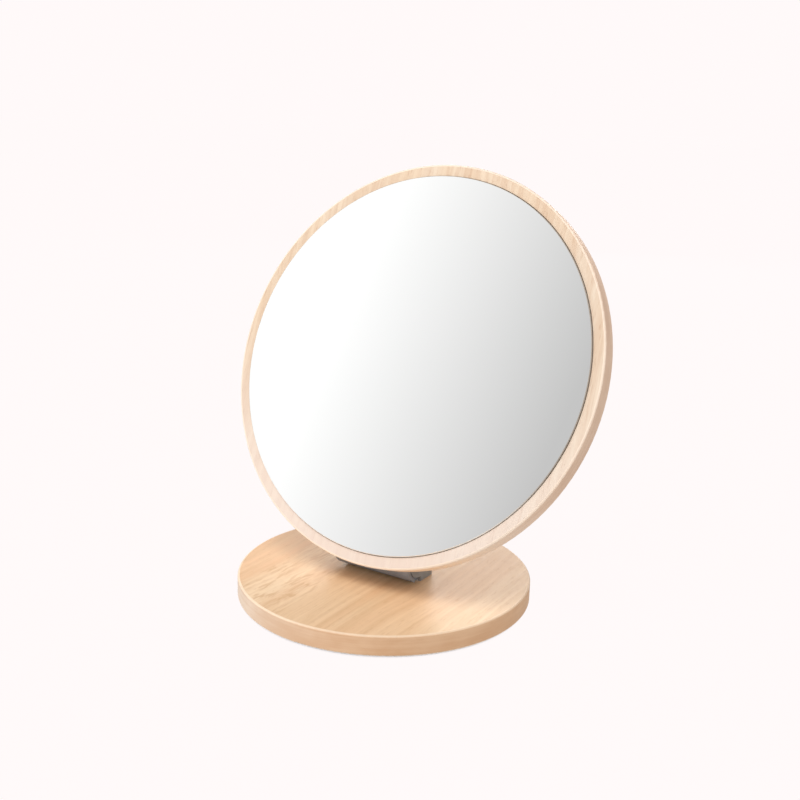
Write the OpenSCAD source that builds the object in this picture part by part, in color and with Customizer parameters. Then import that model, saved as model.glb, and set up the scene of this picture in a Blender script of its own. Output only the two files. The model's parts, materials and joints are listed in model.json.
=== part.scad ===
// Round tabletop mirror: a disc base with a tilting disc head on a friction hinge.
// Frame: origin on the table under the centre of the base, +Z up, the mirror faces -Y, millimetres.

/* [Base] */
// Diameter of the round base
base_d = 140; // [100:1:200]
// Radius of the rounded arrises of both discs
arris_r = 0.8; // [0.3:0.1:0.9]
// Thickness of the board core of both discs
core_t = 9; // [6:0.5:18]
// Thickness of the wood veneer on each face of both discs
veneer_t = 0.25; // [0.2:0.05:0.6]
// Thickness of the wood edge band round both discs
band_t = 1; // [1:0.5:2]
// Number of anti-slip pads under the base
pad_n = 6; // [6:1:6]
// Diameter of one anti-slip pad
pad_d = 12; // [6:1:20]
// Thickness of one anti-slip pad
pad_t = 1; // [0.8:0.1:3]
// Distance of the pads from the centre of the base
pad_ring_r = 58; // [40:1:60]

/* [Head] */
// Diameter of the round head
head_d = 195; // [150:1:240]
// Diameter of the mirror glass
glass_d = 183; // [140:1:230]
// Total thickness of the glass with its silvering
glass_t = 3; // [2:0.5:4]
// Thickness of the silvering and its paint
silver_t = 0.15; // [0.1:0.05:0.3]
// Thickness of the adhesive strips behind the glass
tape_t = 0.5; // [0.3:0.1:1]
// Gap between the edge of the glass and the wall of its pocket
glass_gap = 0.3; // [0.2:0.1:1.5]
// Height of the front of the glass above the face of the head
glass_proud = 0.9; // [0:0.1:1.5]
// Lean of the head back from upright, in degrees
head_tilt = 23.4; // [0:0.1:60]
// Lean of the head at which its back rests on the ears of the base bracket, in degrees
lean_stop = 60; // [40:1:70]

/* [Hinge] */
// Height of the hinge axis above the top of the base
axis_rise = 10.4; // [10.3:0.1:14]
// Position of the hinge axis in Y
axis_y = -2; // [-10:0.5:10]
// Distance of the hinge axis above the lower edge of the head, along the head
axis_foot = 8; // [5:0.05:12]
// Outer radius of the curled strap
strap_r = 10; // [8:0.5:10]
// Thickness of the sheet of the head bracket
leaf_t = 1.5; // [1:0.1:2]
// Thickness of the sheet of the base bracket
foot_t = 1.5; // [1:0.1:2]
// Overall width of the base bracket
hinge_w = 42; // [30:1:60]
// Diameter of the hinge shaft
shaft_d = 6; // [5:0.5:8]
// Radial running clearance of the shaft in its bores
run_gap = 0.05; // [0.02:0.01:0.1]
// Thickness of each friction washer
washer_t = 0.3; // [0.2:0.1:1]
// Width of the base bracket's tongue
tongue_w = 30; // [24:1:32]
// Rear end of the base bracket's tongue in Y
tongue_y = 34; // [30:1:50]
// Height of the leaf on the back of the head
leaf_h = 34; // [28:1:50]

/* [Hidden] */
$fn = 96;
base_r = base_d / 2;
head_r = head_d / 2;
glass_r = glass_d / 2;
board_t = core_t + 2 * veneer_t;
base_top = pad_t + board_t;
axis_z = base_top + axis_rise;
disc_rise = head_r - axis_foot;
pocket_r = glass_r + glass_gap;
pocket_z = board_t + glass_proud - glass_t - tape_t;
shaft_r = shaft_d / 2;
bore_r = shaft_r + run_gap;
ear_out = hinge_w / 2;
ear_in = ear_out - foot_t;
side_gap = 0.05;
stop_gap = 0.05;
leaf_x = ear_in - washer_t - side_gap;
strap_x = ear_out + 0.2;
ear_r = strap_r - leaf_t - 0.7;
ear_rear = 9.5 - axis_y;
screw_r = 1.5;
hole_gap = 0.02;
base_screw_pos = [[-9, 15], [9, 15], [-9, 28], [9, 28]];
head_screw_pos = [[-11, 13], [11, 13], [-11, 27], [11, 27]];
tape_pos = [-54, -18, 18, 54];
tape_half = [52, 76, 76, 52];
base_screw_deep = 6;
head_screw_deep = 5;
spring_t = 0.7;
spring_rise = 0.25;

// Places a shape drawn about the hinge axis: X along the axis, Y towards the back, Z up the head.
module head_frame() {
  translate([0, axis_y, axis_z])
    rotate([-head_tilt, 0, 0])
      children();
}

// Places a shape drawn about the axis of the head disc: Z = 0 on its back, Z up is towards the front.
module disc_frame() {
  head_frame()
    translate([0, -strap_r, disc_rise])
      rotate([90, 0, 0])
        children();
}

// Half section of an edge band, with its two outer corners rounded.
module band_section(r_in, r_out, t, r) {
  intersection() {
    translate([r_in, 0])
      square([r_out - r_in, t]);
    union() {
      translate([r_in, 0])
        square([r_out - r_in - r, t]);
      translate([r_in, r])
        square([r_out - r_in, t - 2 * r]);
      translate([r_out - r, r])
        circle(r = r);
      translate([r_out - r, t - r])
        circle(r = r);
    }
  }
}

// A rectangle with rounded corners, from its lower left corner.
module round_rect(w, h, r) {
  union() {
    translate([r, 0])
      square([w - 2 * r, h]);
    translate([0, r])
      square([w, h - 2 * r]);
    translate([r, r])
      circle(r = r);
    translate([w - r, r])
      circle(r = r);
    translate([r, h - r])
      circle(r = r);
    translate([w - r, h - r])
      circle(r = r);
  }
}

// A plate in the Y-Z plane drawn from its side, from x = x0 to x0 + t.
module side_plate(x0, t) {
  translate([x0, 0, 0])
    rotate([90, 0, 90])
      linear_extrude(height = t)
        children();
}

// A cylinder along X.
module bar_x(x0, x1, r) {
  translate([x0, 0, 0])
    rotate([0, 90, 0])
      cylinder(h = x1 - x0, r = r);
}

// The cross recess of a screw head, cut downwards from z = 0.
module cross_recess(size, deep) {
  union() {
    translate([-size / 2, -0.45, -deep])
      cube([size, 0.9, deep + 1]);
    translate([-0.45, -size / 2, -deep])
      cube([0.9, size, deep + 1]);
  }
}

// The four pilot holes under the base bracket.
module base_pilots() {
  for (p = base_screw_pos)
    translate([p[0], p[1], base_top - base_screw_deep - 0.5])
      cylinder(h = base_screw_deep + 1.5, r = screw_r + hole_gap);
}

// The four pilot holes under the head bracket, in the frame of the head.
module head_pilots() {
  for (p = head_screw_pos)
    translate([p[0], -strap_r - head_screw_deep - 0.5, p[1]])
      rotate([-90, 0, 0])
        cylinder(h = head_screw_deep + 1.5, r = screw_r + hole_gap);
}

// Board core of the base, with the pilot holes of the bracket's screws.
module base_core() {
  color([0.76, 0.6, 0.43])
    difference() {
      translate([0, 0, pad_t + veneer_t])
        cylinder(h = core_t, r = base_r - band_t);
      base_pilots();
    }
}

// Veneer on the top of the base.
module base_top_veneer() {
  color([0.9, 0.76, 0.58])
    difference() {
      translate([0, 0, base_top - veneer_t])
        cylinder(h = veneer_t, r = base_r - band_t);
      base_pilots();
    }
}

// Veneer under the base.
module base_bottom_veneer() {
  color([0.9, 0.76, 0.58])
    translate([0, 0, pad_t])
      cylinder(h = veneer_t, r = base_r - band_t);
}

// Edge band round the base.
module base_edge_band() {
  color([0.85, 0.69, 0.52])
    translate([0, 0, pad_t])
      rotate_extrude()
        band_section(base_r - band_t, base_r, board_t, arris_r);
}

// One anti-slip pad, with a rounded lower edge.
module base_pad(i) {
  color([0.2, 0.2, 0.2])
    rotate([0, 0, 90 + i * 360 / pad_n])
      translate([pad_ring_r, 0, 0])
        union() {
          cylinder(h = 0.3, r1 = pad_d / 2 - 0.3, r2 = pad_d / 2);
          translate([0, 0, 0.3])
            cylinder(h = pad_t - 0.3, r = pad_d / 2);
        }
}

// Side outline of one ear of the base bracket, about the hinge axis, standing on the base.
// Its sloping top edge is the stop that the back of the head comes down on.
module ear_outline() {
  f = strap_r - stop_gap;
  union() {
    circle(r = ear_r);
    polygon([
      [0, 0],
      [1.4, -ear_r + 1],
      [1.4, -axis_rise],
      [ear_rear, -axis_rise],
      [ear_rear, 2],
      [15 * sin(lean_stop) - f * cos(lean_stop), 15 * cos(lean_stop) + f * sin(lean_stop)],
      [2 * sin(lean_stop) - f * cos(lean_stop), 2 * cos(lean_stop) + f * sin(lean_stop)]
    ]);
  }
}

// Base bracket: one steel pressing with two ears, a cross web and a tongue with four screw holes.
module base_bracket() {
  color([0.55, 0.56, 0.55])
    difference() {
      union() {
        translate([0, axis_y, axis_z]) {
          side_plate(ear_in, foot_t)
            ear_outline();
          side_plate(-ear_out, foot_t)
            ear_outline();
        }
        translate([-ear_out, 4.8, base_top])
          cube([hinge_w, 4.7, foot_t]);
        translate([-tongue_w / 2, 4.8, base_top])
          linear_extrude(height = foot_t)
            round_rect(tongue_w, tongue_y - 4.8, 4);
        translate([-tongue_w / 2, 4.8, base_top])
          cube([tongue_w, 8, foot_t]);
      }
      translate([0, axis_y, axis_z]) {
        bar_x(-ear_out - 1, 0, bore_r);
        intersection() {
          bar_x(0, ear_out + 1, bore_r);
          translate([0, -2.5 - run_gap, -4])
            cube([ear_out + 1, 5 + 2 * run_gap, 8]);
        }
      }
      for (p = base_screw_pos)
        translate([p[0], p[1], base_top - 1])
          cylinder(h = foot_t + 2, r = 1.75);
    }
}

// Pan head screw, standing on z = 0 and driven down through a sheet. Its thread is a plain shank.
module pan_screw(deep, sheet) {
  color([0.7, 0.7, 0.68])
    difference() {
      union() {
        cylinder(h = 0.9, r = 2.8);
        translate([0, 0, 0.9])
          cylinder(h = 0.9, r1 = 2.8, r2 = 1.9);
        translate([0, 0, 1.5 - deep - sheet])
          cylinder(h = deep + sheet - 1.4, r = screw_r);
        translate([0, 0, -deep - sheet])
          cylinder(h = 1.5, r1 = 0.3, r2 = screw_r);
      }
      translate([0, 0, 1.8])
        cross_recess(2.6, 1);
    }
}

// One screw of the base bracket.
module base_bracket_screw(i) {
  p = base_screw_pos[i];
  translate([p[0], p[1], base_top + foot_t])
    pan_screw(base_screw_deep, foot_t);
}

// Hinge shaft: domed head, two flats in the right ear, plain bearing length and a threaded end.
module hinge_shaft() {
  color([0.75, 0.75, 0.74])
    translate([0, axis_y, axis_z])
      union() {
        bar_x(-ear_out - 8.4, ear_in - 0.1, shaft_r);
        intersection() {
          bar_x(ear_in - 0.2, ear_out + 0.2, shaft_r);
          translate([ear_in - 0.2, -2.5, -4])
            cube([foot_t + 0.4, 5, 8]);
        }
        translate([ear_out, 0, 0])
          rotate([0, 90, 0])
            cylinder(h = 0.6, r = 4.6);
        translate([ear_out + 0.6, 0, 0])
          rotate([0, 90, 0])
            cylinder(h = 0.5, r1 = 4.6, r2 = 3.6);
      }
}

// One friction washer, between an ear of the base bracket and an ear of the head bracket.
module friction_washer(x0) {
  color([0.3, 0.25, 0.2])
    translate([0, axis_y, axis_z])
      difference() {
        bar_x(x0, x0 + washer_t, 7.5);
        bar_x(x0 - 1, x0 + washer_t + 1, bore_r + 0.1);
      }
}

// One coned disc spring on the left end of the shaft. The pair is stacked edge to edge.
module disc_spring(i) {
  lift = spring_t + spring_rise;
  flip = (i == 0) ? 1 : 0;
  color([0.5, 0.5, 0.5])
    translate([-ear_out - (i + 1) * lift, axis_y, axis_z])
      rotate([0, 90, 0])
        translate([0, 0, flip * lift])
          mirror([0, 0, flip])
            rotate_extrude()
              polygon([
                [bore_r + 0.15, 0],
                [6, spring_rise],
                [6, lift],
                [bore_r + 0.15, spring_t]
              ]);
}

// Hexagonal lock nut with a round collar that holds the shaft under the springs.
module lock_nut() {
  nut_x = -ear_out - 2 * (spring_t + spring_rise);
  color([0.72, 0.72, 0.7])
    translate([nut_x, axis_y, axis_z])
      difference() {
        union() {
          intersection_for(a = [0, 60, 120])
            rotate([a, 0, 0])
              translate([-4, -5, -10])
                cube([4, 10, 20]);
          bar_x(-5.4, -3.9, 4.3);
        }
        bar_x(-10, 1, shaft_r + hole_gap);
      }
}

// Board core of the head, with the pocket of the glass and the pilot holes of the head bracket.
module head_core() {
  color([0.76, 0.6, 0.43])
    difference() {
      disc_frame()
        difference() {
          translate([0, 0, veneer_t])
            cylinder(h = core_t, r = head_r - band_t);
          translate([0, 0, pocket_z])
            cylinder(h = board_t, r = pocket_r);
        }
      head_frame()
        head_pilots();
    }
}

// Veneer ring round the glass, on the front of the head.
module head_front_veneer() {
  color([0.94, 0.86, 0.74])
    disc_frame()
      translate([0, 0, board_t - veneer_t])
        difference() {
          cylinder(h = veneer_t, r = head_r - band_t);
          translate([0, 0, -1])
            cylinder(h = veneer_t + 2, r = pocket_r);
        }
}

// Veneer on the back of the head.
module head_back_veneer() {
  color([0.94, 0.86, 0.74])
    difference() {
      disc_frame()
        cylinder(h = veneer_t, r = head_r - band_t);
      head_frame()
        head_pilots();
    }
}

// Edge band round the head.
module head_edge_band() {
  color([0.85, 0.69, 0.52])
    disc_frame()
      rotate_extrude()
        band_section(head_r - band_t, head_r, board_t, arris_r);
}

// Mirror glass, with a fine bevel round its front edge.
module mirror_glass() {
  t = glass_t - silver_t;
  color([0.85, 0.9, 0.9, 0.5])
    disc_frame()
      translate([0, 0, pocket_z + tape_t + silver_t])
        rotate_extrude()
          polygon([
            [0, 0],
            [glass_r, 0],
            [glass_r, t - 0.3],
            [glass_r - 0.3, t],
            [0, t]
          ]);
}

// Silvering and its paint, on the back of the glass.
module mirror_silvering() {
  color([0.8, 0.82, 0.84])
    disc_frame()
      translate([0, 0, pocket_z + tape_t])
        cylinder(h = silver_t, r = glass_r);
}

// One adhesive strip behind the glass.
module mirror_tape(i) {
  color([0.9, 0.9, 0.88])
    disc_frame()
      translate([tape_pos[i] - 7, -tape_half[i], pocket_z])
        cube([14, 2 * tape_half[i], tape_t]);
}

// Side outline of the curled strap, about the hinge axis: part of a ring, from its front down and
// under the axis to the given angle.
module strap_outline(last) {
  intersection() {
    difference() {
      circle(r = strap_r);
      circle(r = strap_r - leaf_t);
    }
    polygon([
      [0, 0],
      [-20, 0],
      [-20, -20],
      [20 * cos(last), 20 * sin(last)]
    ]);
  }
}

// Head bracket: a leaf on the back of the head that widens into a strap curled under the ears of
// the base bracket, further round between them than over them, with two inner ears on the shaft.
module head_bracket() {
  inner_r = strap_r - leaf_t;
  color([0.5, 0.51, 0.5])
    head_frame()
      difference() {
        union() {
          side_plate(-strap_x, 2 * strap_x)
            strap_outline(268);
          side_plate(-leaf_x, 2 * leaf_x)
            strap_outline(315);
          translate([-leaf_x, -strap_r, 0])
            cube([2 * leaf_x, leaf_t, leaf_h - 8]);
          translate([0, -strap_r + leaf_t, 0])
            rotate([90, 0, 0])
              linear_extrude(height = leaf_t)
                translate([-leaf_x, 0])
                  round_rect(2 * leaf_x, leaf_h, 4);
          for (x0 = [-leaf_x, leaf_x - leaf_t])
            side_plate(x0, leaf_t)
              union() {
                circle(r = inner_r + 0.2);
                translate([-inner_r - 0.2, 0])
                  square([inner_r + 0.2, inner_r]);
              }
        }
        bar_x(-leaf_x - 1, leaf_x + 1, bore_r);
        for (p = head_screw_pos)
          translate([p[0], -strap_r - 1, p[1]])
            rotate([-90, 0, 0])
              cylinder(h = leaf_t + 2, r = 1.75);
      }
}

// Spacer sleeve on the shaft, between the inner ears.
module shaft_sleeve() {
  half = leaf_x - leaf_t;
  color([0.85, 0.85, 0.82])
    translate([0, axis_y, axis_z])
      difference() {
        bar_x(-half, half, 5);
        bar_x(-half - 1, half + 1, bore_r);
      }
}

// One screw of the head bracket.
module head_bracket_screw(i) {
  p = head_screw_pos[i];
  head_frame()
    translate([p[0], -strap_r + leaf_t, p[1]])
      rotate([-90, 0, 0])
        pan_screw(head_screw_deep, leaf_t);
}

base_core();
base_top_veneer();
base_bottom_veneer();
base_edge_band();
base_pad(0);  // base_pad_1
base_pad(1);  // base_pad_2
base_pad(2);  // base_pad_3
base_pad(3);  // base_pad_4
base_pad(4);  // base_pad_5
base_pad(5);  // base_pad_6
base_bracket();
base_bracket_screw(0);  // base_bracket_screw_1
base_bracket_screw(1);  // base_bracket_screw_2
base_bracket_screw(2);  // base_bracket_screw_3
base_bracket_screw(3);  // base_bracket_screw_4
hinge_shaft();
friction_washer(-ear_in);  // friction_washer_left
friction_washer(ear_in - washer_t);  // friction_washer_right
disc_spring(0);  // disc_spring_1
disc_spring(1);  // disc_spring_2
lock_nut();
head_core();
head_front_veneer();
head_back_veneer();
head_edge_band();
mirror_glass();
mirror_silvering();
mirror_tape(0);  // mirror_tape_1
mirror_tape(1);  // mirror_tape_2
mirror_tape(2);  // mirror_tape_3
mirror_tape(3);  // mirror_tape_4
head_bracket();
shaft_sleeve();
head_bracket_screw(0);  // head_bracket_screw_1
head_bracket_screw(1);  // head_bracket_screw_2
head_bracket_screw(2);  // head_bracket_screw_3
head_bracket_screw(3);  // head_bracket_screw_4
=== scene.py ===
"""Looks, light and camera for a round tabletop mirror: two wood-veneered discs on a steel friction hinge."""

import json
import math

import bmesh
import bpy
from mathutils import Matrix, Vector


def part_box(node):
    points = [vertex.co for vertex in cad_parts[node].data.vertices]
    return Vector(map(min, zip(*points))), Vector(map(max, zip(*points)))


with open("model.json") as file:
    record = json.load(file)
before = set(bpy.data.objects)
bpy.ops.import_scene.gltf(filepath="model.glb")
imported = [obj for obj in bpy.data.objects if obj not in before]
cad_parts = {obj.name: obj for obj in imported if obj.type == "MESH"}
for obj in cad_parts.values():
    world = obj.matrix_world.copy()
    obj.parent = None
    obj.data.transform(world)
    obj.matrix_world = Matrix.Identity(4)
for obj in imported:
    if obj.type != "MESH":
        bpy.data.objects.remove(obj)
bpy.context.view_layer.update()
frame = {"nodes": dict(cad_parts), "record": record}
nodes = frame["nodes"]


def srgb(r, g, b):
    """A colour given as 8-bit sRGB, as the linear values that the shader nodes use."""
    def linear(v):
        v /= 255.0
        return v / 12.92 if v <= 0.04045 else ((v + 0.055) / 1.055) ** 2.4
    return (linear(r), linear(g), linear(b), 1.0)


def face_normal(node, towards):
    """Area-weighted normal of a CAD node's faces that look towards a direction, within about 45 degrees."""
    total = Vector()
    for polygon in nodes[node].data.polygons:
        if polygon.normal.dot(towards) > 0.7:
            total += polygon.normal * polygon.area
    return total.normalized()


def middle(node):
    """Centre of a CAD node's box."""
    low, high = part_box(node)
    return (low + high) / 2


def half_width(node):
    """Half of a CAD node's size in X, which is the radius of a disc."""
    low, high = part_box(node)
    return (high.x - low.x) / 2


# The head's own directions at rest: out of the mirror, and the turn that lays its face level.
head_out = face_normal("mirror_silvering", Vector((0, -1, 0)))
head_turn = math.atan2(head_out.z, -head_out.y) - math.pi / 2
head_centre = middle("mirror_glass")
head_r = half_width("head_edge_band")
glass_r = half_width("mirror_glass")
base_r = half_width("base_edge_band")
base_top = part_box("base_top_veneer")[1].z
edge_low, edge_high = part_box("base_edge_band")
board_half = (edge_high.z - edge_low.z) / 2


class Graph:
    """A material's node tree, with short calls for the nodes used here."""

    def __init__(self, name):
        self.material = bpy.data.materials.new(name)
        self.material.use_nodes = True
        self.tree = self.material.node_tree
        self.tree.nodes.clear()

    def add(self, kind, inputs=None, **settings):
        """A node of this kind. inputs are links or values, by the socket's name or number."""
        node = self.tree.nodes.new(kind)
        for key, value in settings.items():
            setattr(node, key, value)
        for key, value in (inputs or {}).items():
            self.put(node.inputs[key], value)
        return node

    def put(self, socket, value):
        """Links a socket or sets a value. None leaves the socket as it is."""
        if isinstance(value, bpy.types.NodeSocket):
            self.tree.links.new(value, socket)
        elif value is not None:
            socket.default_value = value

    def math(self, operation, a, b=None, clamp=False):
        return self.add("ShaderNodeMath", {0: a, 1: b}, operation=operation, use_clamp=clamp).outputs[0]

    def times(self, a, b):
        return self.math("MULTIPLY", a, b)

    def plus(self, a, b):
        return self.math("ADD", a, b)

    def minus(self, a, b):
        return self.math("SUBTRACT", a, b)

    def vector(self, operation, a, b=None):
        node = self.add("ShaderNodeVectorMath", {0: a, 1: b}, operation=operation)
        return node.outputs["Value"] if operation in ("LENGTH", "DOT_PRODUCT") else node.outputs["Vector"]

    def split(self, vector):
        node = self.add("ShaderNodeSeparateXYZ", {0: vector})
        return node.outputs[0], node.outputs[1], node.outputs[2]

    def join(self, x, y, z):
        return self.add("ShaderNodeCombineXYZ", {0: x, 1: y, 2: z}).outputs[0]

    def noise(self, vector, cells, seed=0.0, detail=3.0, roughness=0.55, distortion=0.0):
        """Noise with so many cells per metre in X, Y and Z. Each seed gives another part of it."""
        place = self.add(
            "ShaderNodeVectorMath",
            {0: vector, 1: cells, 2: (seed, seed * 0.7, seed * 1.3)},
            operation="MULTIPLY_ADD",
        ).outputs["Vector"]
        settings = {"Scale": 1.0, "Detail": detail, "Roughness": roughness, "Distortion": distortion}
        return self.add("ShaderNodeTexNoise", {"Vector": place, **settings}).outputs[0]

    def remap(self, value, low, high, to_low=0.0, to_high=1.0, smooth=False):
        return self.add(
            "ShaderNodeMapRange",
            {"Value": value, "From Min": low, "From Max": high, "To Min": to_low, "To Max": to_high},
            interpolation_type="SMOOTHSTEP" if smooth else "LINEAR",
        ).outputs["Result"]

    def smooth(self, value, low, high, to_low=0.0, to_high=1.0):
        return self.remap(value, low, high, to_low, to_high, smooth=True)

    def mix(self, factor, a, b, blend="MIX"):
        """Colour a, blended with b by a factor. The Mix node's colour sockets have these numbers."""
        node = self.add("ShaderNodeMix", data_type="RGBA", blend_type=blend)
        self.put(node.inputs[0], factor)
        self.put(node.inputs[6], a)
        self.put(node.inputs[7], b)
        return node.outputs[2]

    def place(self, centre=(0, 0, 0), turn=0.0):
        """Place on the piece in metres, about a centre: X across, Y along the grain, Z out of the face."""
        object_space = self.add("ShaderNodeTexCoord").outputs["Object"]
        about = self.vector("SUBTRACT", object_space, tuple(centre))
        return self.add("ShaderNodeMapping", {"Vector": about, "Rotation": (turn, 0, 0)}).outputs["Vector"]

    def bump(self, height, distance):
        """Relief that stands so many metres high where height is 1."""
        inputs = {"Height": height, "Distance": distance, "Strength": 1.0}
        return self.add("ShaderNodeBump", inputs).outputs["Normal"]

    def principled(self, **inputs):
        named = {key.replace("_", " "): value for key, value in inputs.items()}
        return self.add("ShaderNodeBsdfPrincipled", named).outputs[0]

    def finish(self, shader):
        """Links a shader to the output and returns the material."""
        output = self.add("ShaderNodeOutputMaterial")
        self.tree.links.new(shader, output.inputs["Surface"])
        return self.material


# Wood noise, in cells per metre: across the grain, along it and out of the face.
WANDER = (14, 7, 5)
STREAKS = (230, 8, 20)
THIN_STREAKS = (620, 16, 60)
WOOD_FIBRE = (1500, 45, 200)
WOOD_PORES = (2600, 190, 300)
RIPPLES = (400, 84, 60)
RIPPLE_PATCHES = (50, 22, 20)
BROAD_BANDS = (52, 4, 4)
GROWTH_LINES_PER_METRE = 190.0
GRAIN_SLANT = 0.03
WANDER_WIDTH = 0.012
# How much of the dark tone each part of the figure brings in at most, and of the light tone a crest.
STREAK_DEPTH = 0.26
THIN_DEPTH = 0.2
EARLY_DEPTH = 0.12
PORE_DEPTH = 0.42
DIP_DEPTH = 0.62
CREST_LIFT = 0.55
VENEER_RELIEF = 0.00005


def veneer(name, light, middle_tone, dark, centre, turn, seed, figure, rippled, paler=None, lift=None):
    """Rift-sawn pale oak: soft streaks, faint growth lines, open pores, fine fibre and a rippled zone.

    figure is how strong the pattern is. rippled is where the rippled zone starts and ends across the grain,
    and how strong it is. paler is where a lighter zone starts, partly the wood's tone and partly painted
    light on that side of the face. lift is a tint that comes in towards the lower end of the grain, and the
    grain's half length.
    """
    g = Graph(name)
    p = g.place(centre, turn)
    x, y, z = g.split(p)

    # The grain wanders a little as it runs along the face.
    wander = g.minus(g.noise(p, WANDER, seed, detail=2.0), 0.5)
    across = g.plus(g.plus(x, g.times(y, GRAIN_SLANT)), g.times(wander, WANDER_WIDTH))
    q = g.join(across, y, z)

    streak = g.smooth(g.noise(q, STREAKS, seed + 23, detail=3.0, roughness=0.6), 0.34, 0.66)
    thin = g.smooth(g.noise(q, THIN_STREAKS, seed + 5, detail=2.0, roughness=0.6), 0.5, 0.72)
    growth = g.math("FRACT", g.plus(g.times(across, GROWTH_LINES_PER_METRE), g.times(wander, 2.4)))
    early = g.times(g.smooth(growth, 0.0, 0.25), g.smooth(growth, 0.25, 1.0, 1.0, 0.0))
    fibre = g.noise(q, WOOD_FIBRE, seed + 17, detail=4.0, roughness=0.7)
    pore_field = g.noise(q, WOOD_PORES, seed + 29, detail=1.0, roughness=0.5)
    pores = g.times(g.remap(pore_field, 0.6, 0.72), g.remap(early, 0.0, 0.6, 0.3, 1.0))

    # Ripples: short wavy dashes along the grain, dark on one side and pale on the other.
    first, last, strength = rippled
    inside = g.times(
        g.smooth(across, first - 0.002, first + 0.003),
        g.smooth(across, last + 0.006, last - 0.004),
    )
    wave = g.noise(q, RIPPLES, seed + 37, detail=2.0, roughness=0.55, distortion=0.7)
    patches = g.noise(q, RIPPLE_PATCHES, seed + 41, detail=1.0)
    patch = g.times(g.remap(patches, 0.3, 0.5, 0.35, 1.0), inside)
    dips = g.times(g.smooth(wave, 0.5, 0.68), patch)
    crests = g.times(g.smooth(wave, 0.5, 0.34), patch)

    # Broad bands of the light tone, and more of it in the rippled and the paler zones.
    bands = g.times(g.smooth(g.noise(q, BROAD_BANDS, seed + 11, detail=2.0, roughness=0.5), 0.36, 0.64), 0.6)
    bands = g.plus(bands, g.times(inside, 0.35 * strength))
    # The paler zone is partly the wood's tone and partly painted light on that side of the face.
    if paler is not None:
        bands = g.plus(bands, g.smooth(across, paler - 0.008, paler + 0.02, 0.0, 0.45))

    colour = g.mix(g.math("MULTIPLY", bands, 1.0, clamp=True), middle_tone, light)
    colour = g.mix(g.times(streak, STREAK_DEPTH * figure), colour, dark)
    colour = g.mix(g.times(thin, THIN_DEPTH * figure), colour, dark)
    colour = g.mix(g.times(early, EARLY_DEPTH * figure), colour, dark)
    colour = g.mix(g.times(dips, DIP_DEPTH * strength), colour, dark)
    colour = g.mix(g.times(crests, CREST_LIFT * strength), colour, light)
    colour = g.mix(g.remap(fibre, 0.3, 0.75, 0.16, 0.0), colour, dark)
    colour = g.mix(g.times(pores, PORE_DEPTH * figure), colour, dark)
    if lift is not None:
        tint, half = lift
        colour = g.mix(g.smooth(y, 0.3 * half, -half, 0.0, 0.6), colour, tint)

    relief = g.minus(g.times(fibre, 0.35), pores)
    relief = g.minus(relief, g.times(dips, 0.6 * strength))
    return g.finish(g.principled(
        Base_Color=colour,
        Roughness=g.remap(fibre, 0.3, 0.7, 0.44, 0.58),
        Specular_IOR_Level=0.4,
        Coat_Weight=0.12,
        Coat_Roughness=0.35,
        Normal=g.bump(relief, VENEER_RELIEF),
    ))


# Edging noise, in cells per metre: X, Y and through the disc's thickness, so that it runs round the rim.
EDGE_LINES = (16, 16, 950)
EDGE_CLOUD = (38, 38, 90)
EDGE_PORES = (150, 150, 1500)
# The rounded arris's painted highlight: how far inside the disc's face it starts, and where it is full.
ARRIS_HIGHLIGHT_FROM, ARRIS_HIGHLIGHT_FULL = 0.0008, 0.0003
EDGE_RELIEF = 0.00002


def edge_band(name, light, dark, pale, centre, turn, seed, lit_low_radius=0.0, side_light=None):
    """Thin wood edging bent round a disc: its fibre runs round the rim, and its rounded arrises carry a
    painted highlight.

    tilted is the disc's radius where the edging is painted paler low down: painted light on the strip that
    faces down into shade. sides is a painted-light tint for the left, a painted-shade tint for the right, and
    the disc's radius.
    """
    g = Graph(name)
    p = g.place(centre, turn)
    x, y, z = g.split(p)
    lines = g.noise(p, EDGE_LINES, seed, detail=3.0, roughness=0.6)
    cloud = g.noise(p, EDGE_CLOUD, seed + 7, detail=3.0, roughness=0.6)
    pores = g.remap(g.noise(p, EDGE_PORES, seed + 13, detail=1.0), 0.62, 0.74)
    shade = g.plus(g.times(lines, 0.35), g.times(cloud, 0.65))
    colour = g.mix(g.smooth(shade, 0.36, 0.64), dark, light)
    colour = g.mix(g.times(pores, 0.25), colour, dark)
    # Painted light: the edging turns paler towards the bottom, where it faces down into shade.
    if lit_low_radius:
        colour = g.mix(g.smooth(y, -0.5 * lit_low_radius, -0.97 * lit_low_radius), colour, pale)
    # Painted light and shade: the left side is tinted paler and cooler, and the right side darker and warmer.
    if side_light is not None:
        lit_left_tint, shaded_right_tint, radius = side_light
        tint = g.mix(g.smooth(x, -0.9 * radius, 0.6 * radius), lit_left_tint, shaded_right_tint)
        colour = g.mix(1.0, colour, tint, blend="MULTIPLY")
    # Painted highlight: the rounded arrises take the pale tone.
    rim = g.smooth(g.math("ABSOLUTE", z), board_half - ARRIS_HIGHLIGHT_FROM, board_half - ARRIS_HIGHLIGHT_FULL)
    colour = g.mix(g.times(rim, 0.8), colour, pale)
    relief = g.times(g.minus(g.times(lines, 0.4), pores), g.minus(1.0, rim))
    return g.finish(g.principled(
        Base_Color=colour,
        Roughness=g.remap(cloud, 0.3, 0.7, 0.46, 0.58),
        Specular_IOR_Level=0.35,
        Normal=g.bump(relief, EDGE_RELIEF),
    ))


def board(name):
    """Fibreboard core, seen only in the gap round the glass and in the screw holes."""
    g = Graph(name)
    p = g.place()
    fibres = g.noise(p, (900, 900, 900), detail=5.0, roughness=0.7)
    chips = g.noise(p, (260, 260, 700), 5, detail=3.0, roughness=0.6)
    colour = g.mix(fibres, srgb(120, 92, 66), srgb(176, 142, 106))
    colour = g.mix(g.remap(chips, 0.5, 0.7, 0.0, 0.35), colour, srgb(92, 68, 48))
    return g.finish(g.principled(Base_Color=colour, Roughness=0.9, Normal=g.bump(fibres, 0.0001)))


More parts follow.
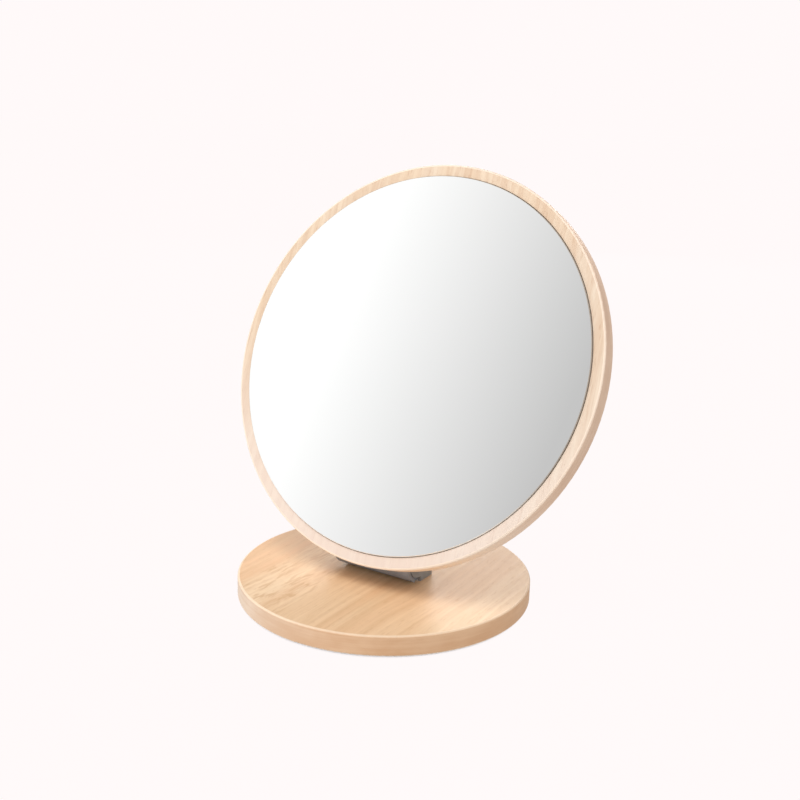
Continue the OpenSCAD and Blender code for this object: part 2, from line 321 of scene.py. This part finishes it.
def steel(name, base, tint, roughness, grain, metallic=1.0):
    """Satin steel with rolling lines, clouding and small handling marks.

    grain is the lines' cells per metre in X, Y and Z, with the fewest along the lines.
    """
    g = Graph(name)
    p = g.place()
    lines = g.noise(p, grain, 2, detail=4.0, roughness=0.65)
    cloud = g.noise(p, (150, 150, 150), 9, detail=4.0, roughness=0.6)
    specks = g.remap(g.noise(p, (1500, 1500, 1500), 21, detail=2.0), 0.66, 0.76)
    colour = g.mix(g.remap(cloud, 0.35, 0.65), base, tint)
    colour = g.mix(g.times(specks, 0.3), colour, srgb(70, 70, 68))
    rolled = g.remap(lines, 0.3, 0.7, roughness - 0.07, roughness + 0.07)
    return g.finish(g.principled(
        Base_Color=colour,
        Metallic=metallic,
        Roughness=g.plus(rolled, g.times(specks, 0.15)),
        Normal=g.bump(lines, 0.000012),
    ))


def plain(name, light, dark, roughness, cells, relief, specular=0.3):
    """Moulded or pressed stock with a fine grain: rubber, fibre, nylon or foam."""
    g = Graph(name)
    p = g.place()
    fine = g.noise(p, (cells, cells, cells), detail=4.0, roughness=0.65)
    cloud = g.noise(p, (cells / 12, cells / 12, cells / 12), 5, detail=3.0, roughness=0.6)
    return g.finish(g.principled(
        Base_Color=g.mix(g.times(g.plus(fine, cloud), 0.5), dark, light),
        Roughness=g.remap(fine, 0.3, 0.7, roughness - 0.06, roughness + 0.06),
        Specular_IOR_Level=specular,
        Normal=g.bump(fine, relief),
    ))


# The ground bevel at the glass's edge: its width, and the width of the step from polished to ground.
BEVEL = 0.0003
BEVEL_STEP = 0.00002


def silvered_glass(name):
    """Float glass silvered behind: its polished face mirrors, and its bevel is ground, with painted light
    making it paler low down.
    """
    g = Graph(name)
    p = g.place(head_centre, head_turn)
    x, y, _ = g.split(p)
    from_middle = g.vector("LENGTH", g.join(x, y, 0.0))
    bevel_at = glass_r - BEVEL
    ground = g.remap(from_middle, bevel_at - BEVEL_STEP / 2, bevel_at + BEVEL_STEP / 2)
    # Painted light: the ground bevel is paler towards the bottom, where it faces down into shade.
    low = g.smooth(y, -0.35 * glass_r, -0.8 * glass_r)
    grit = g.noise(p, (4000, 4000, 4000), detail=2.0)
    cloud = g.noise(p, (9, 9, 9), 3, detail=2.0)
    polished = g.principled(
        Base_Color=g.mix(g.remap(cloud, 0.3, 0.7), (0.938, 0.942, 0.938, 1), (0.946, 0.946, 0.944, 1)),
        Metallic=1.0,
        Roughness=0.0,
    )
    frosted = g.principled(
        Base_Color=g.mix(low, srgb(182, 172, 161), srgb(255, 250, 244)),
        Roughness=0.45,
        IOR=1.52,
        Normal=g.bump(grit, 0.00004),
    )
    return g.finish(g.add("ShaderNodeMixShader", {0: ground, 1: polished, 2: frosted}).outputs[0])


def silvering(name):
    """Silver behind the glass, very nearly even."""
    g = Graph(name)
    cloud = g.noise(g.place(), (8, 8, 8), detail=2.0)
    colour = g.mix(g.remap(cloud, 0.3, 0.7), (0.955, 0.958, 0.955, 1), (0.965, 0.965, 0.962, 1))
    return g.finish(g.principled(Base_Color=colour, Metallic=1.0, Roughness=0.0))


# One look for each of the record's material slots, and a steel of its own for the base bracket.
LOOKS = {
    "base_veneer": veneer(
        "oak_base", srgb(247, 219, 183), srgb(240, 198, 157), srgb(204, 158, 108),
        (0, 0, base_top), 0.0, seed=4.0, figure=1.0,
        rippled=(-0.71 * base_r, -0.22 * base_r, 0.85), paler=0.3 * base_r,
    ),
    "head_veneer": veneer(
        "oak_head", srgb(241, 227, 208), srgb(235, 213, 187), srgb(205, 168, 138),
        head_centre, head_turn, seed=31.0, figure=1.25,
        rippled=(0.3 * head_r, 0.9 * head_r, 0.35), paler=0.5 * head_r,
        lift=(srgb(245, 232, 226), head_r),
    ),
    # The pale tone is the painted highlight on the arrises. The side tints paint light on the left and shade
    # on the right.
    "base_edge": edge_band(
        "edging_base", srgb(240, 208, 176), srgb(228, 190, 154), srgb(253, 228, 200),
        middle("base_edge_band"), 0.0, seed=3.0,
        side_light=((1.0, 1.15, 1.38, 1), (0.97, 0.88, 0.8, 1), base_r),
    ),
    # The pale tone is painted light: the highlight on the arrises and the lighter edging low down.
    "head_edge": edge_band(
        "edging_head", srgb(239, 209, 185), srgb(228, 194, 168), srgb(255, 238, 221),
        middle("head_edge_band"), head_turn, seed=8.0, lit_low_radius=head_r,
    ),
    "board_core": board("fibreboard"),
    "bracket_steel": steel(
        "steel_bracket", srgb(138, 146, 158), srgb(156, 164, 176), 0.4, (30, 1600, 1600), metallic=0.25,
    ),
    "foot_steel": steel(
        "steel_foot", srgb(146, 153, 160), srgb(164, 171, 178), 0.42, (1600, 30, 1600), metallic=0.25,
    ),
    "plated_steel": steel(
        "steel_plated", srgb(188, 188, 184), srgb(204, 203, 198), 0.28, (500, 500, 500),
    ),
    "pad": plain("rubber_pad", srgb(52, 52, 52), srgb(32, 32, 32), 0.75, 2400.0, 0.00006),
    "friction_washer": plain("fibre_washer", srgb(72, 58, 46), srgb(44, 34, 27), 0.7, 3200.0, 0.00003),
    "sleeve": plain(
        "nylon_sleeve", srgb(232, 229, 218), srgb(216, 212, 200), 0.45, 900.0, 0.00001, specular=0.5,
    ),
    "tape": plain("foam_tape", srgb(238, 236, 228), srgb(214, 212, 204), 0.85, 2600.0, 0.00008),
    "clear_glass": silvered_glass("float_glass"),
    "silvering": silvering("mirror_silver"),
}

for entry in frame["record"]["subparts"]:
    look = "foot_steel" if entry["node"] == "base_bracket" else entry["material_slot"]
    mesh = nodes[entry["node"]].data
    mesh.materials.clear()
    mesh.materials.append(LOOKS[look])


# Stage: a pale floor that meets a pale surround with no visible line, and a large card that the mirror
# reflects.
WHITE = (1, 1, 1, 1)
PALE = srgb(255, 249, 249)
WARM_FLOOR = (1.0, 0.95, 0.9, 1)
WARM_SURROUND = (1.0, 0.965, 0.93, 1)
# As the camera sees them, the floor and the surround both just reach PALE. FLOOR_BOUNCE is the floor's
# light on the object. SURROUND is the surround's light, and how bright a reflection shows either of them.
FLOOR_SEEN = 1.006
SURROUND_SEEN = 1.002
FLOOR_BOUNCE = 0.82
SURROUND = 0.55
FLOOR_SIZE = 12.0
# The floor's painted contact shadow reaches this far from the base.
CONTACT_REACH = 0.004  # how near the base has to be to darken the floor
MATT_SHARE = 0.01  # how much of the floor's look takes the lamps' light


def stage_plane(name, size, location, turn, material):
    """A square plane that belongs to the stage and not to the object."""
    mesh = bpy.data.meshes.new(name)
    shape = bmesh.new()
    bmesh.ops.create_grid(shape, x_segments=8, y_segments=8, size=size / 2)
    shape.to_mesh(mesh)
    shape.free()
    plane = bpy.data.objects.new(name, mesh)
    bpy.context.scene.collection.objects.link(plane)
    plane.location = location
    plane.rotation_mode = "QUATERNION"
    plane.rotation_quaternion = turn
    plane.data.materials.append(material)
    return plane


def facing(direction):
    """The turn that points a plane's face, or the back of a lamp, in a direction."""
    return Vector(direction).to_track_quat("Z", "Y")


def floor_look():
    """Even and pale, with a painted contact shadow only in the gap under the base. A reflection shows it like
    the surround.
    """
    g = Graph("pale_floor")
    # Painted contact shadow: the floor's glow is dimmed where the base is close above it.
    near = g.add("ShaderNodeAmbientOcclusion", {"Distance": CONTACT_REACH}, samples=8, only_local=False)
    level = g.remap(near.outputs["AO"], 0.02, 0.16, 0.1, FLOOR_SEEN)
    ray = g.add("ShaderNodeLightPath")
    seen, sheen = ray.outputs["Is Camera Ray"], ray.outputs["Is Glossy Ray"]
    unseen_level = g.remap(sheen, 0.0, 1.0, FLOOR_BOUNCE, SURROUND)
    level = g.times(level, g.remap(seen, 0.0, 1.0, unseen_level, 1.0))
    colour = g.mix(seen, g.mix(sheen, WARM_FLOOR, WHITE), PALE)
    glow = g.add("ShaderNodeEmission", {"Color": colour, "Strength": level})
    matt = g.add("ShaderNodeBsdfDiffuse", {"Color": PALE, "Roughness": 0.6})
    both = g.add("ShaderNodeMixShader", {0: MATT_SHARE, 1: glow.outputs[0], 2: matt.outputs[0]})
    return g.finish(both.outputs[0])


# The card: its size, how far it stands from the mirror's image of the camera, how bright it is at both ends
# of its slope, where those ends are, and the ring in which it fades into the surround.
CARD_SIZE = 2.4
CARD_AWAY = 2.46
CARD_BRIGHT, CARD_DIM = 1.07, 0.592
CARD_FROM, CARD_TO = -0.165, 0.34
CARD_FADE_FROM, CARD_FADE_TO = 0.6, 1.15


def card_look(slope):
    """Brightest at the mirror's upper left, dimmer at its lower right, and like the surround further out."""
    g = Graph("studio_card")
    p = g.add("ShaderNodeTexCoord").outputs["Object"]
    along = g.vector("DOT_PRODUCT", p, tuple(slope))
    level = g.remap(along, CARD_FROM, CARD_TO, CARD_BRIGHT, CARD_DIM)
    fade = g.smooth(g.vector("LENGTH", p), CARD_FADE_FROM, CARD_FADE_TO)
    level = g.remap(fade, 0.0, 1.0, level, SURROUND)
    glow = g.add("ShaderNodeEmission", {"Color": (1.0, 1.0, 0.998, 1), "Strength": level})
    return g.finish(glow.outputs[0])


stage_plane("floor", FLOOR_SIZE, (0, 0, 0), facing((0, 0, 1)), floor_look())

# Camera: the photograph's viewing angle, as an orbit round a point in the head.
AZIMUTH = math.radians(32.66)
ELEVATION = math.radians(14.99)
ROLL = math.radians(1.51)
DISTANCE = 0.5567
TARGET = Vector((-0.0083, 0.0230, 0.0891))
LENS_MM = 51.75
SENSOR_MM = 36

level_part = math.cos(ELEVATION)
back = Vector((math.sin(AZIMUTH) * level_part, -math.cos(AZIMUTH) * level_part, math.sin(ELEVATION)))
level_right = Vector((math.cos(AZIMUTH), math.sin(AZIMUTH), 0))
level_up = back.cross(level_right)
right = math.cos(ROLL) * level_right + math.sin(ROLL) * level_up
up = math.cos(ROLL) * level_up - math.sin(ROLL) * level_right
eye = TARGET + back * DISTANCE

camera_data = bpy.data.cameras.new("camera")
camera_data.lens = LENS_MM
camera_data.sensor_width = SENSOR_MM
camera_data.clip_start = 0.01
camera = bpy.data.objects.new("camera", camera_data)
bpy.context.scene.collection.objects.link(camera)
camera.matrix_world = Matrix.Translation(eye) @ Matrix((right, up, back)).transposed().to_4x4()
bpy.context.scene.camera = camera


def mirrored(direction):
    """A direction as the mirror reflects it."""
    return direction - 2 * direction.dot(head_out) * head_out


# The card stands where the mirror sends the middle of the camera's view. Its slope runs down and to the
# right in the picture, carried over by the mirror.
SLOPE_RIGHT, SLOPE_DOWN = 0.915, 0.403
GLASS_FACE = 0.0014  # from the middle of the glass's box to its front face

face_point = head_centre + head_out * GLASS_FACE
eye_behind = eye - 2 * (eye - face_point).dot(head_out) * head_out
diagonal = SLOPE_RIGHT * mirrored(right) - SLOPE_DOWN * mirrored(up)
card_turn = facing(mirrored(back))
card_place = eye_behind - mirrored(back) * CARD_AWAY
card = stage_plane("card", CARD_SIZE, card_place, card_turn, card_look(card_turn.inverted() @ diagonal))
card.visible_camera = False
card.visible_diffuse = False
card.visible_shadow = False


def area_light(name, location, aim, size, power, colour, sheen=False):
    """An elliptical lamp. Only one with sheen shows in reflections."""
    data = bpy.data.lights.new(name, "AREA")
    data.shape = "ELLIPSE"
    data.size, data.size_y = size
    data.energy = power
    data.color = colour
    lamp = bpy.data.objects.new(name, data)
    bpy.context.scene.collection.objects.link(lamp)
    lamp.location = location
    lamp.rotation_mode = "QUATERNION"
    lamp.rotation_quaternion = facing(Vector(location) - Vector(aim))
    lamp.visible_camera = False
    lamp.visible_glossy = sheen


# Lamps: place, the point they aim at, width and height, watts and colour. The key is low at the left, for the
# sides, the top one lights both faces, and the back one also gives the base's top its sheen.
area_light("key", (-1.0, -0.9, 0.13), (0, 0, 0.05), (0.9, 0.2), 4.7, (1.0, 0.99, 0.99))
area_light("top", (0.05, -0.45, 1.2), (0, 0, 0.02), (0.9, 0.9), 8.1, (1.0, 0.985, 0.97))
area_light("back", (-0.45, 1.1, 0.42), (0, 0, 0.02), (0.8, 0.7), 5.3, (1.0, 0.98, 0.97), sheen=True)

world = bpy.data.worlds.new("surround")
world.use_nodes = True
bpy.context.scene.world = world
tree = world.node_tree
tree.nodes.clear()
path = tree.nodes.new("ShaderNodeLightPath")
sky = tree.nodes.new("ShaderNodeOutputWorld")


def surround(colour, strength):
    background = tree.nodes.new("ShaderNodeBackground")
    background.inputs["Color"].default_value = colour
    background.inputs["Strength"].default_value = strength
    return background.outputs[0]


def choose(ray, otherwise, chosen):
    """The second shader for rays of this kind, and the first for all others."""
    node = tree.nodes.new("ShaderNodeMixShader")
    tree.links.new(path.outputs[ray], node.inputs[0])
    tree.links.new(otherwise, node.inputs[1])
    tree.links.new(chosen, node.inputs[2])
    return node.outputs[0]


unseen = choose("Is Glossy Ray", surround(WARM_SURROUND, SURROUND), surround(WHITE, SURROUND))
everything = choose("Is Camera Ray", unseen, surround(PALE, SURROUND_SEEN))
tree.links.new(everything, sky.inputs["Surface"])

bpy.context.scene.view_settings.view_transform = "Standard"
bpy.context.scene.view_settings.look = "None"
